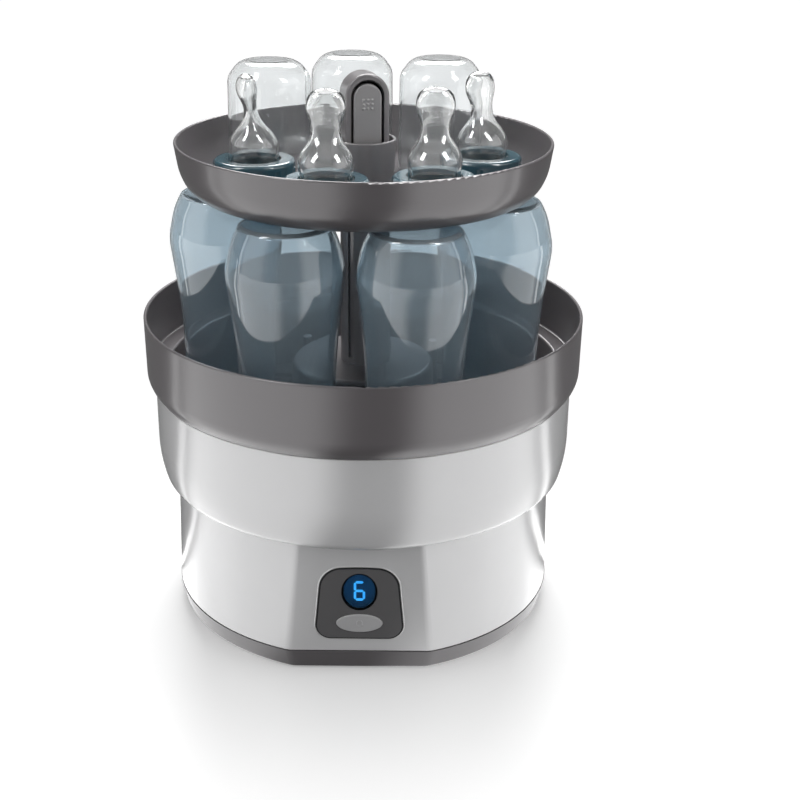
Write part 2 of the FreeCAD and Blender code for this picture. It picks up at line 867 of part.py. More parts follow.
def panel_block(grow, y0, y1):
    """The panel's rounded outline, grown outwards by a margin, as a plate across the Y axis."""
    low = panel_low_z - grow
    high = panel_high_z - panel_arch + grow
    low_half = panel_low_half + grow
    high_half = panel_high_half + grow
    corners = [V(-low_half, y0, low), V(low_half, y0, low), V(high_half, y0, high), V(-high_half, y0, high)]
    edges = [Part.makeLine(corners[0], corners[1]), Part.makeLine(corners[1], corners[2])]
    edges.append(Part.Arc(corners[2], V(0, y0, high + panel_arch), corners[3]).toShape())
    edges.append(Part.makeLine(corners[3], corners[0]))
    plate = Part.Face(Part.Wire(edges)).extrude(V(0, y1 - y0, 0))
    middle = (low + high) / 2
    upright = [e for e in plate.Edges if abs(e.tangentAt(e.FirstParameter).y) > 0.99]
    plate = plate.makeFillet(panel_low_corner + grow, [e for e in upright if e.CenterOfMass.z < middle])
    upright = [e for e in plate.Edges if abs(e.tangentAt(e.FirstParameter).y) > 0.99]
    top = max(e.CenterOfMass.z for e in upright)
    return plate.makeFillet(panel_high_corner + grow, [e for e in upright if e.CenterOfMass.z > top - 0.1])


def panel_post_places():
    return [(side * x, z) for x, z in ((panel_post_x, panel_post_z), (panel_post_high_x, panel_post_high_z))
            for side in (-1, 1)]


def control_panel():
    plate = panel_block(0, panel_front_y, panel_back_y)
    flange = panel_block(panel_flange, flat_y + wall, panel_back_y)
    pocket = panel_block(-panel_skirt, panel_inner_y, panel_back_y)
    body = joined([plate, flange]).cut(pocket)
    posts = [rod(panel_post_r, panel_inner_y - panel_wall / 2, control_board_y, x, z) for x, z in panel_post_places()]
    pilots = [rod(screw_r, control_board_y + board_wall - panel_screw_length - hole_gap, control_board_y + 1, x, z)
              for x, z in panel_post_places()]
    window = oval(window_half_width, window_half_height, window_z, panel_front_y - 1, panel_front_y + window_wall)
    sight = oval(window_half_width - window_ledge, window_half_height - window_ledge, window_z,
                 panel_front_y - 1, panel_back_y)
    button = oval(button_half_width + locate_gap, button_half_height + locate_gap, button_z,
                  panel_front_y - 1, panel_back_y)
    return joined([body] + posts).cut([window, sight, button] + pilots)


def panel_gasket():
    outer = panel_block(gasket_wall, flat_y - gasket_proud, flat_y + wall)
    return outer.cut(panel_block(0, flat_y - 1, flat_y + wall + 1))


def display_window():
    half_width = window_half_width - running_gap
    half_height = window_half_height - running_gap
    return oval(half_width, half_height, window_z, panel_front_y - fit_gap, panel_front_y + window_wall)


def display_module():
    half_width = window_half_width - window_ledge - locate_gap
    half_height = window_half_height - window_ledge
    return block(-half_width, half_width, panel_inner_y, control_board_y, window_z - half_height, window_z + half_height)


def segment(x, z, length, upright):
    """One bar of the digit, pointed at both ends, in front of the display module."""
    half = segment_width / 2
    end = length / 2
    if upright:
        corners = [(0, -end), (half, half - end), (half, end - half), (0, end), (-half, end - half), (-half, half - end)]
    else:
        corners = [(-end, 0), (half - end, half), (end - half, half), (end, 0), (end - half, -half), (half - end, -half)]
    places = [V(x + dx, panel_inner_y - segment_depth, z + dz) for dx, dz in corners]
    return Part.Face(Part.makePolygon(places + places[:1])).extrude(V(0, segment_depth, 0))


def display_digit():
    """The lit bars of a six."""
    across = digit_width - segment_width
    rise = (digit_height - segment_width) / 2
    bars = [segment(0, window_z + step * rise, across - segment_gap, False) for step in (-1, 0, 1)]
    for side, step in ((-1, 0.5), (-1, -0.5), (1, -0.5)):
        bars.append(segment(side * across / 2, window_z + step * rise, rise - segment_gap, True))
    return Part.makeCompound(bars)


def control_board():
    half = control_board_width / 2
    back = control_board_y + board_wall
    board = block(-half, half, control_board_y, back, control_board_low_z, control_board_high_z)
    holes = [rod(screw_r + fit_gap, control_board_y - 1, back + 1, x, z) for x, z in panel_post_places()]
    return board.cut(holes)


def button_switch():
    half = switch_width / 2
    body = block(-half, half, switch_front_y, control_board_y, button_z - half, button_z + half)
    depth = 2 * button_travel + locate_gap
    return body.cut(rod(plunger_r + locate_gap, switch_front_y - 1, switch_front_y + depth, 0, button_z))


def power_button():
    face = oval(button_half_width, button_half_height, button_z, button_front_y, panel_inner_y)
    rim = [e for e in face.Edges if e.BoundBox.YMax < button_front_y + 0.01]
    face = face.makeFillet(button_round, rim)
    flange = oval(button_half_width + button_flange, button_half_height + button_flange, button_z,
                  panel_inner_y, panel_inner_y + button_flange_wall)
    stem = rod(stem_r, panel_inner_y, panel_inner_y + stem_length, 0, button_z)
    return joined([face, flange, stem, power_sign()])


def power_sign():
    """A raised broken ring with an upright bar in its gap."""
    circle = Part.makeTorus(sign_r, sign_line_r, V(0, button_front_y, button_z), TO_BACK)
    gap = block(-sign_gap / 2, sign_gap / 2, button_front_y - 1, button_front_y + 1, button_z, button_z + 2 * sign_r)
    top = button_z + sign_r + sign_line_r
    bar = block(-sign_line_r, sign_line_r, button_front_y - sign_line_r, panel_front_y, top - sign_bar, top)
    return circle.cut(gap).fuse(bar)


def switch_plunger():
    return rod(plunger_r, panel_inner_y + stem_length, switch_front_y + button_travel, 0, button_z)


def board_screws():
    screws = [screw(x, y, board_top, board_screw_length, -1) for x, y in board_post_places()]
    for x, z in panel_post_places():
        upright = screw(0, 0, 0, panel_screw_length)
        upright.rotate(CENTRE, TO_SIDE, 90)
        upright.translate(V(x, control_board_y + board_wall, z))
        screws.append(upright)
    return Part.makeCompound(screws)


# ---- Basket and column ----

def bottle_basket():
    """The rim, the ledge and the well's wall, with the inner seat on which the rack lies."""
    ledge_low = neck_z + flange_wall
    low = basket_floor_z - floor_wall
    skirt_r = neck_r + slide_gap
    side_r = basket_r - basket_side_draft
    well_low = basket_r - basket_wall - basket_draft
    half = basket_wall / 2
    return turned(
        (basket_r, basket_rim_z - half), ("to", side_r, skirt_z + basket_turn_rise, basket_turn_round),
        ("to", side_r - basket_turn_in, skirt_z), ("to", skirt_r, skirt_z), ("to", skirt_r, ledge_low),
        ("to", well_r + well_wall, ledge_low), ("to", well_foot_r + well_wall, low - rack_seat, well_round + well_wall),
        ("to", rack_seat_r, low - rack_seat), ("to", rack_seat_r, low), ("to", well_foot_r, low),
        ("to", well_r, ledge_z, ledge_round), ("to", well_low, ledge_z, ledge_round),
        ("to", basket_r - basket_wall, basket_rim_z - half),
        ("arc", basket_r - half, basket_rim_z, basket_r, basket_rim_z - half))


def rack_body():
    """The turned part of the rack: its floor and the hub that holds the column."""
    low = basket_floor_z - floor_wall
    edge_r = well_foot_r - locate_gap
    screw_seat = spigot_z - hub_floor
    return turned(
        (edge_r, low), ("to", hub_foot_r - floor_wall, low), ("to", hub_top_r - floor_wall, hub_z - floor_wall),
        ("to", column_r + hub_rim_room, hub_z - floor_wall), ("to", column_r + hub_rim_room, screw_seat),
        ("to", screw_r + hole_gap, screw_seat), ("to", screw_r + hole_gap, spigot_z),
        ("to", spigot_r + fit_gap, spigot_z), ("to", spigot_r + fit_gap, hub_z),
        ("to", hub_top_r, hub_z, hub_round), ("to", hub_foot_r, basket_floor_z, hub_round),
        ("to", edge_r, basket_floor_z))


def bottle_rack():
    """The floor with its pegs, ribs and steam holes."""
    low = basket_floor_z - floor_wall
    root = basket_floor_z - floor_wall / 2
    top = basket_floor_z + rib_height
    adds = []
    cuts = []
    for i in range(place_count):
        x, y = around(place_circle_r, first_place_angle + i * 360 / place_count)
        away = math.degrees(math.atan2(y, x))
        adds.append(disc(peg_r, root, basket_floor_z, x, y))
        adds.append(Part.makeCone(peg_r, peg_r - peg_taper, peg_height, V(x, y, basket_floor_z)))
        for j in range(rib_count):
            rib = block(0, rib_end, -rib_wall / 2, rib_wall / 2, root, top)
            adds.append(moved(rib, x, y, 0, away + (j + 0.5) * 360 / rib_count))
        for j in range(steam_hole_count):
            turn = math.radians(away + (j + 0.5) * 360 / steam_hole_count)
            side = V(x + steam_circle_r * math.cos(turn), y + steam_circle_r * math.sin(turn), 0)
            cuts.append(hole(steam_hole_r, low, top, side.x, side.y))
        between = around(place_circle_r, first_place_angle + (i + 0.5) * 360 / place_count)
        cuts.append(hole(steam_hole_r, low, top, *between))
    return joined([rack_body()] + adds).cut(cuts)


def column():
    bore_r = spigot_r - spigot_wall
    body = turned(
        (screw_r, spigot_z), ("to", spigot_r, spigot_z), ("to", spigot_r, hub_z),
        ("to", column_r, hub_z), ("to", column_r, column_top_z), ("to", column_bore_r, column_top_z),
        ("to", column_bore_r, hub_z + 2 * spigot_wall), ("to", bore_r, hub_z + spigot_wall),
        ("to", bore_r, spigot_z + spigot_floor), ("to", screw_r, spigot_z + spigot_floor))
    half = column_groove_width / 2
    groove = block(-half, half, -column_r - 1, column_groove_depth - column_r,
                   hub_z + column_groove_end, column_top_z - column_groove_end)
    return body.cut(moved(groove, 0, 0, 0, column_groove_angle))


def column_screw():
    return screw(0, 0, spigot_z - hub_floor, column_screw_length)


def bottle_corners(z):
    """The corners of a bottle's side, with heights that keep their share of the whole."""
    return [(bottle_r - bottle_foot_inset, z + bottle_height * 0.2163, bottle_foot_round),
            (bottle_r - bottle_waist_inset, z + bottle_height * 0.498, bottle_waist_round),
            (bottle_r, z + bottle_height * 0.8126, bottle_side_round),
            (bottle_r - bottle_top_inset, z + bottle_height * 0.9338, bottle_top_round)]


def bottle(x, y):
    """A wide-neck bottle standing on its mouth."""
    z = bottle_mouth_z
    collar_z = z + bottle_neck_height
    top = z + bottle_height
    collar_r = bottle_neck_r + bottle_collar
    collar_top = (collar_r, collar_z + 2 * bottle_collar)
    outside = bottle_corners(z)
    base = (bottle_base_r, top, bottle_base_round)
    hollow = inset(collar_top, outside, base[:2], bottle_wall)
    ceiling = top - bottle_base_wall
    body = turned(
        (bottle_neck_bore_r, z), ("to", bottle_neck_r, z), *thread_ridges(z), ("to", bottle_neck_r, collar_z),
        ("to", collar_r, collar_z + bottle_collar_rise), ("to", *collar_top), *rounded(outside + [base]), ("to", 0, top),
        ("to", 0, ceiling), ("to", bottle_base_r - bottle_wall / 2, ceiling, bottle_base_round - bottle_wall),
        *rounded(hollow), ("to", collar_r - bottle_wall, collar_top[1]), ("to", bottle_neck_bore_r, collar_z))
    return moved(body, x, y, 0)


def thread_ridges(z):
    """The steps of the neck's outline over its two thread ridges."""
    steps = []
    for i in range(2):
        foot = z + i * thread_pitch + thread_pitch / 2
        steps += [("to", bottle_neck_r, foot), ("to", bottle_neck_r + thread_depth, foot + thread_depth),
                  ("to", bottle_neck_r + thread_depth, foot + 2 * thread_depth),
                  ("to", bottle_neck_r, foot + 3 * thread_depth)]
    return steps


# ---- Tray, socket and tongs ----

def upper_tray():
    low = column_top_z
    bore_r = socket_spigot_r + fit_gap
    half = tray_wall / 2
    rim_z = tray_rim_z - half
    outside = [(tray_r - tray_foot_inset, low, tray_foot_round),
               (tray_r - tray_bend_inset, low + tray_bend_rise, tray_bend_round),
               (tray_r - tray_side_inset, low + tray_side_rise, tray_side_round)]
    inside = inset((bore_r, low), outside, (tray_r, rim_z), tray_wall)
    return turned(
        (bore_r, low), *rounded(outside), ("to", tray_r, rim_z),
        ("arc", tray_r - half, tray_rim_z, tray_r - tray_wall, rim_z), *rounded(inside), ("to", bore_r, tray_floor_z))


def tongs_socket():
    rim_z = tray_rim_z - socket_lip_rise
    lip_r = socket_inner_r + socket_inner_draft
    spigot_low = tray_floor_z - socket_spigot_length
    return turned(
        (socket_bore_r, spigot_low), ("to", socket_spigot_r, spigot_low), ("to", socket_spigot_r, tray_floor_z),
        ("to", socket_r - socket_draft, tray_floor_z), ("to", socket_r, rim_z),
        ("arc", (socket_r + lip_r) / 2, tray_rim_z, lip_r, rim_z),
        ("to", socket_inner_r, socket_floor_z), ("to", socket_bore_r, socket_floor_z))


def pin_bore(radius):
    """A cutter along the hinge pin, wider than the tongs."""
    return crossbar(radius, -tongs_width, tongs_width, pin_y, pin_z)


def hinge_pin():
    return crossbar(pin_r, -pin_length / 2, pin_length / 2, pin_y, pin_z)


def tongs_arm(y0, top_z):
    return block(-arm_width / 2, arm_width / 2, y0, y0 + arm_wall, arm_end_z, top_z)


def pocket_top_z():
    return tongs_top_z - (tongs_width - pocket_width) / 2


def tongs_frame():
    half = tongs_depth / 2
    body = arch(tongs_width, tongs_top_z, socket_floor_z, -half, half)
    rims = [e for e in body.Edges if abs(abs(e.CenterOfMass.y) - half) < 0.01 and e.CenterOfMass.z > socket_floor_z + 1]
    body = body.makeFillet(tongs_round, rims)
    pocket = arch(pocket_width, pocket_top_z(), socket_floor_z - cut_past, -half - cut_past,
                  pocket_back_y)
    arm = tongs_arm(arm_gap, socket_floor_z)
    root = block(-arm_width / 2, arm_width / 2, arm_gap, arm_gap + arm_wall, socket_floor_z, socket_floor_z + arm_wall)
    return joined([body.cut(pocket), root, arm]).cut(hinge_pin())


def tongs_lining():
    half = tongs_depth / 2
    outer = arch(pocket_width, pocket_top_z(), socket_floor_z + lining_rise, lining_inset - half, pocket_back_y)
    inner = arch(pocket_width - 2 * lining_wall, pocket_top_z() - lining_wall, socket_floor_z - cut_past,
                 -half - cut_past, pocket_back_y - lining_wall)
    return outer.cut([inner, pin_bore(pin_r + locate_gap)])


def tongs_spring():
    coil_r = pin_r + spring_wire_r + running_gap
    pitch = 2 * spring_wire_r + fit_gap
    length = pitch * spring_turns
    path = Part.makeHelix(pitch, length, coil_r)
    section = Part.Wire(Part.Circle(V(coil_r, 0, 0), TO_BACK, spring_wire_r).toShape())
    coil = Part.Wire(path.Edges).makePipeShell([section], True, True)
    coil.rotate(CENTRE, TO_BACK, 90)
    coil.translate(V(-length / 2, pin_y, pin_z))
    back_y = pocket_back_y - lining_wall - spring_wire_r
    start = V(length / 2, pin_y + coil_r, pin_z)
    leg = Part.makeCylinder(spring_wire_r, spring_leg, start, V(0, back_y - start.y, spring_leg))
    return joined([coil, leg, Part.makeSphere(spring_wire_r, start)])


def grip_dots():
    """Three rows of raised dots under the thumb."""
    top = lever_top_z - grip_dot_drop
    y = lever_front_y + grip_dot_r / 3
    return [Part.makeSphere(grip_dot_r, V(i * grip_dot_pitch, y, top - j * grip_dot_pitch))
            for i in (-1, 0, 1) for j in range(3)]


def tongs_lever():
    tail_z = pin_z - lever_tail
    face = arch(lever_width, lever_top_z, tail_z, lever_front_y, lever_back_y)
    rims = [e for e in face.Edges if abs(e.CenterOfMass.y - lever_front_y) < 0.01 and e.CenterOfMass.z > tail_z + 1]
    face = face.makeFillet(lever_round, rims)
    arm = tongs_arm(-arm_gap - arm_wall, tail_z + arm_wall)
    boss = crossbar(pin_boss_r, -arm_width / 2, arm_width / 2, pin_y, pin_z)
    spring_half = spring_turns * (spring_wire_r + fit_gap / 2) + 2 * spring_wire_r
    coil_room = pin_r + 2 * spring_wire_r + locate_gap
    gap = block(-spring_half, spring_half, pin_y - pin_r, pocket_back_y, pin_z - 2 * pin_boss_r, pin_z + 2 * pin_boss_r)
    relief = crossbar(coil_room, -spring_half, spring_half, pin_y, pin_z)
    return joined([face, arm, boss] + grip_dots()).cut([pin_bore(pin_r + running_gap), gap, relief])


def tongs_piece(shape):
    return moved(shape, 0, 0, 0, tongs_turn)


# ---- Loose parts on the tray ----

def bottle_cap(x, y):
    low = tray_floor_z
    top = low + cap_height
    outside = [(cap_r - cap_side_inset, top - cap_side_drop, cap_side_round),
               (cap_r - cap_top_inset, top, cap_top_round)]
    hollow = inset((cap_r, low), outside, (0, top), cap_wall)
    body = turned(
        (cap_r - cap_wall, low), ("to", cap_r, low), *rounded(outside), ("to", 0, top), ("to", 0, top - cap_wall),
        *rounded(hollow))
    return moved(body, x, y, 0)


def screw_ring():
    """A ribbed screw ring, open at its foot."""
    bore_r = ring_r - ring_wall
    body = turned(
        (bore_r, 0), ("to", ring_r, 0), ("to", ring_r, ring_height, ring_round), ("to", ring_hole_r, ring_height),
        ("to", ring_hole_r, ring_height - ring_wall), ("to", bore_r, ring_height - ring_wall))
    reach = ring_r + flute_r - flute_depth
    flutes = []
    for i in range(flute_count):
        turn = 2 * math.pi * i / flute_count
        flutes.append(disc(flute_r, flute_foot, ring_height - ring_round - flute_foot,
                           reach * math.cos(turn), reach * math.sin(turn)))
    return body.cut(flutes)


def teat_section(z, half_width, half_depth, lean):
    if half_width > half_depth:
        curve = Part.Ellipse(V(half_width, lean, z), V(0, lean + half_depth, z), V(0, lean, z))
    else:
        curve = Part.Ellipse(V(0, lean + half_depth, z), V(half_width, lean, z), V(0, lean, z))
    return Part.Wire(curve.toShape())


def teat():
    """A feeding teat with a flattened, leaning tip, hollow and open at its foot."""
    top = ring_height
    outer = Part.makeLoft([teat_section(top + h, a, b, lean) for h, a, b, lean in teat_sections], True)
    hollow = [(h, a - teat_wall, b - teat_wall, lean) for h, a, b, lean in teat_sections[:-3]]
    hollow.append(teat_hollow_end)
    inner = Part.makeLoft([teat_section(top + h, a, b, lean) for h, a, b, lean in hollow], True)
    flange_top = top - ring_wall
    flange = disc(teat_flange_r, flange_top - teat_wall, flange_top)
    mouth = disc(teat_sections[0][1] - teat_wall, flange_top - teat_wall - 1, flange_top)
    return outer.fuse(flange).cut([inner, mouth])


def main():
    save("base_housing", base_housing())
    save("bowl_housing", bowl_housing())
    save("bottom_cover", bottom_cover())
    save("rubber_feet", rubber_feet())
    save("bottom_screws", bottom_screws())
    save("water_bowl", water_bowl())
    save("plate_seal", plate_seal())
    save("heating_plate", heating_plate())
    save("clamp_ring", clamp_ring())
    save("plate_screws", plate_screws())
    save("heating_element", heating_element())
    save("thermostat", thermostat())
    save("thermal_fuse", thermal_fuse())
    save("power_board", power_board())
    save("relay", relay())
    save("terminal_block", terminal_block())
    save("heater_leads", heater_leads())
    save("cord_gland", cord_gland())
    save("gland_nut", gland_nut())
    save("control_panel", control_panel())
    save("panel_gasket", panel_gasket())
    save("display_window", display_window())
    save("display_module", display_module())
    save("display_digit", display_digit())
    save("control_board", control_board())
    save("button_switch", button_switch())
    save("board_screws", board_screws())
    save("power_button", power_button())
    save("switch_plunger", switch_plunger())
    save("bottle_basket", bottle_basket())
    save("bottle_rack", bottle_rack())
    save("column", column())
    save("column_screw", column_screw())
    for name, (angle, out) in bottle_places.items():
        save("bottle_" + name, bottle(*around(place_circle_r + out, angle)))
    save("upper_tray", upper_tray())
    save("tongs_socket", tongs_socket())
    save("tongs_frame", tongs_piece(tongs_frame()))
    save("tongs_lining", tongs_piece(tongs_lining()))
    save("tongs_pin", tongs_piece(hinge_pin()))
    save("tongs_spring", tongs_piece(tongs_spring()))
    save("tongs_lever", tongs_piece(tongs_lever()))
    for name, (angle, out) in cap_places.items():
        save("cap_" + name, bottle_cap(*around(load_circle_r + out, angle)))
    screw_ring_shape = screw_ring()
    teat_shape = teat()
    for name, (angle, out, turn) in teat_places.items():
        x, y = around(load_circle_r + out, angle)
        save("ring_" + name, moved(screw_ring_shape, x, y, tray_floor_z, turn))
        save("teat_" + name, moved(teat_shape, x, y, tray_floor_z, turn))


main()
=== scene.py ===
# Looks of the bottle sterilizer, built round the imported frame. Everything is in metres.
import math

import bmesh
import bpy
from mathutils import Matrix, Quaternion, Vector, geometry


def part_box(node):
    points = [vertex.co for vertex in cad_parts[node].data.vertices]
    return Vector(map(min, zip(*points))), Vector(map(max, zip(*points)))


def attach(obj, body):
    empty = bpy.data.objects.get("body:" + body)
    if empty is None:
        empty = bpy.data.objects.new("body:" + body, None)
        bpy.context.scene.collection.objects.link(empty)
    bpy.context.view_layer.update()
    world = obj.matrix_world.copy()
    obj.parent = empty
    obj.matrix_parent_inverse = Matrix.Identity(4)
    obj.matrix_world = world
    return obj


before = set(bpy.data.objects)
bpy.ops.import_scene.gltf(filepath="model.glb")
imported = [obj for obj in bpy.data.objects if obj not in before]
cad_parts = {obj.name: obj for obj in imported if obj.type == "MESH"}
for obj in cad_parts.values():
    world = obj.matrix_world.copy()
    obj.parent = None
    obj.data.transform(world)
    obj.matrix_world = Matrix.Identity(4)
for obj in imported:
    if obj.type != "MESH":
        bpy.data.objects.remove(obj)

scene = bpy.context.scene
scene.view_settings.view_transform = "Standard"
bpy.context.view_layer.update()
mm = 0.001
print("frame loaded")


# ---------- shader helpers

class Wire:
    # a socket that can be used in sums, each of which adds its Math node
    def __init__(self, finish, socket):
        self.finish = finish
        self.socket = socket

    def sums(self, kind, first, second):
        return self.finish.node("Math", {"operation": kind}, {0: first, 1: second})

    def __add__(self, other):
        return self.sums("ADD", self, other)

    def __radd__(self, other):
        return self.sums("ADD", other, self)

    def __sub__(self, other):
        return self.sums("SUBTRACT", self, other)

    def __rsub__(self, other):
        return self.sums("SUBTRACT", other, self)

    def __mul__(self, other):
        return self.sums("MULTIPLY", self, other)

    def __rmul__(self, other):
        return self.sums("MULTIPLY", other, self)

    def __truediv__(self, other):
        return self.sums("DIVIDE", self, other)


class Finish:
    # one material, or the world, and the nodes in it
    def __init__(self, name, block=None):
        self.block = block or bpy.data.materials.new(name)
        self.block.use_nodes = True
        self.tree = self.block.node_tree
        self.tree.nodes.clear()

    def node(self, kind, settings=None, values=None, out=0):
        made = self.tree.nodes.new("ShaderNode" + kind)
        for key, value in (settings or {}).items():
            if key == "stops":
                self.setStops(made.color_ramp, value)
            else:
                setattr(made, key, value)
        for key, value in (values or {}).items():
            if isinstance(value, Wire):
                self.tree.links.new(value.socket, made.inputs[key])
            else:
                made.inputs[key].default_value = value
        return Wire(self, made.outputs[out] if made.outputs else None)

    def setStops(self, ramp, stops):
        while len(ramp.elements) > 1:
            ramp.elements.remove(ramp.elements[-1])
        for i, (place, colour) in enumerate(stops):
            element = ramp.elements[0] if i == 0 else ramp.elements.new(place)
            element.position = place
            element.color = colour

    def coords(self):
        return self.node("TexCoord", out=3)

    def axes(self):
        split = self.node("SeparateXYZ", None, {0: self.coords()})
        made = split.socket.node
        return [Wire(self, made.outputs[i]) for i in range(3)]

    def noise(self, size, detail=2.0, stretch=(1, 1, 1)):
        place = self.node("Mapping", None, {"Vector": self.coords(), "Scale": stretch})
        return self.node("TexNoise", None, {"Vector": place, "Scale": 1 / size, "Detail": detail})

    def between(self, mask, first, second):
        return self.node("Mix", {"data_type": "RGBA"}, {0: mask, 6: first, 7: second}, out=2)

    def range(self, wire, low, high, newLow=0.0, newHigh=1.0):
        return self.node("MapRange", {"interpolation_type": "SMOOTHSTEP"},
                         {"Value": wire, "From Min": low, "From Max": high, "To Min": newLow, "To Max": newHigh})

    def bump(self, height, strength, depth):
        return self.node("Bump", None, {"Height": height, "Strength": strength, "Distance": depth})

    def surface(self, values):
        shader = self.node("BsdfPrincipled", None, values)
        self.node("OutputMaterial", None, {"Surface": shader})
        return self.block


def rgb(r, g, b):
    return (r, g, b, 1.0)


# ---------- finishes

# what each kind of finish starts from; sizes are in metres, and a look's own values come first
moulded = {
    "cloud": 0.045, "light": 1.04, "dark": 0.965, "roughSpread": 0.06, "ior": 1.49,
    "grain": 0.0006, "bump": 0.04, "skin": 0.00004, "coat": 0.0, "coatRough": 0.05, "coatIor": 1.5,
}
clear = {"cloud": 0.03, "dark": 0.94, "roughSpread": 0.01, "through": 1.0, "coat": 0.0, "coatRough": 0.02}
brushed = {
    "line": 0.0006, "stretch": (0.04, 1, 1), "dark": (0.42, 0.42, 0.43), "light": (0.66, 0.66, 0.67),
    "roughSpread": 0.16, "bump": 0.15, "skin": 0.00003,
}
rubber = {
    "grain": 0.0009, "light": 1.6, "lift": 0.004, "rough": 0.62, "roughSpread": 0.18, "bump": 0.2, "skin": 0.00008,
}


def mouldedPlastic(name, look):
    # moulded plastic: faint clouding of the colour and the gloss, and a very fine skin
    look = {**moulded, **look}
    finish = Finish(name)
    clouds = finish.noise(look["cloud"], 3.0)
    grain = finish.noise(look["grain"], 2.0)
    light = [min(1.0, c * look["light"]) for c in look["colour"]]
    dark = [c * look["dark"] for c in look["colour"]]
    values = {
        "Base Color": finish.between(clouds, rgb(*dark), rgb(*light)),
        "Roughness": look["rough"] + (clouds - 0.5) * look["roughSpread"],
        "Coat Weight": look["coat"],
        "Coat Roughness": look["coatRough"],
        "Coat IOR": look["coatIor"],
        "IOR": look["ior"],
        "Normal": finish.bump(grain, look["bump"], look["skin"]),
    }
    return finish.surface(values)


def clearMoulding(name, look):
    # see-through moulding with a faint clouding of its tint
    look = {**clear, **look}
    finish = Finish(name)
    clouds = finish.noise(look["cloud"], 2.0)
    deep = [c * look["dark"] for c in look["colour"]]
    values = {
        "Base Color": finish.between(clouds, rgb(*deep), rgb(*look["colour"])),
        "Roughness": look["rough"] + clouds * look["roughSpread"],
        "Transmission Weight": look["through"],
        "IOR": look["ior"],
        "Coat Weight": look["coat"],
        "Coat Roughness": look["coatRough"],
    }
    return finish.surface(values)


def brushedSteel(name, rough):
    # fine lines along X with a soft sheen
    finish = Finish(name)
    lines = finish.noise(brushed["line"], 3.0, brushed["stretch"])
    values = {
        "Base Color": finish.between(lines, rgb(*brushed["dark"]), rgb(*brushed["light"])),
        "Metallic": 1.0,
        "Roughness": rough + lines * brushed["roughSpread"],
        "Normal": finish.bump(lines, brushed["bump"], brushed["skin"]),
    }
    return finish.surface(values)


def rubberSkin(name, colour):
    # soft skin with a fine, pale grain
    finish = Finish(name)
    grain = finish.noise(rubber["grain"], 3.0)
    shade = [c * rubber["light"] + rubber["lift"] for c in colour]
    values = {
        "Base Color": finish.between(grain, rgb(*colour), rgb(*shade)),
        "Roughness": rubber["rough"] + grain * rubber["roughSpread"],
        "Normal": finish.bump(grain, rubber["bump"], rubber["skin"]),
    }
    return finish.surface(values)


windowLow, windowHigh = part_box("display_window")
# painted light on the display's face: its tint and glow are brightest round the digit and lean upward above it
case = {
    "place": (windowLow + windowHigh) / 2, "halfHeight": 0.0127, "halfWidth": 0.011, "lean": 0.35, "reach": 1.1,
    "edge": 0.25, "dark": (0.0, 0.008, 0.02), "light": (0.0, 0.045, 0.085), "rough": 0.35, "glow": 0.5,
}


def displayCase(name):
    # navy face with painted light: it glows faintly round the digit, and more above it, though the face is no lamp
    finish = Finish(name)
    x, y, z = finish.axes()
    offset = (z - case["place"].z) / case["halfHeight"]
    across = x / case["halfWidth"]
    reach = offset * offset + across * across
    glow = finish.range(reach - offset * case["lean"], 0.0, case["reach"], 1.0, case["edge"])
    tint = finish.between(glow, rgb(*case["dark"]), rgb(*case["light"]))
    return finish.surface({"Base Color": tint, "Roughness": case["rough"], "Emission Color": tint,
                           "Emission Strength": case["glow"]})


digit = {"cloud": 0.0025, "dark": (0.1, 0.52, 0.95), "light": (0.42, 0.9, 1.0), "rough": 0.4, "glow": 1.35}


def litDigit(name):
    finish = Finish(name)
    tint = finish.between(finish.noise(digit["cloud"], 2.0), rgb(*digit["dark"]), rgb(*digit["light"]))
    return finish.surface({"Base Color": tint, "Roughness": digit["rough"], "Emission Color": tint,
                           "Emission Strength": digit["glow"]})


board = {"cells": 260.0, "track": 0.12, "copper": (0.1, 0.3, 0.12), "mask": (0.012, 0.09, 0.03), "rough": 0.35,
         "roughSpread": 0.1}


def circuitBoard(name):
    # green mask with paler tracks along the borders of cells
    finish = Finish(name)
    cells = finish.node("TexVoronoi", {"feature": "DISTANCE_TO_EDGE"},
                        {"Vector": finish.coords(), "Scale": board["cells"]})
    tracks = finish.range(cells, 0.0, board["track"])
    tint = finish.between(tracks, rgb(*board["copper"]), rgb(*board["mask"]))
    return finish.surface({"Base Color": tint, "Roughness": board["rough"] + tracks * board["roughSpread"]})


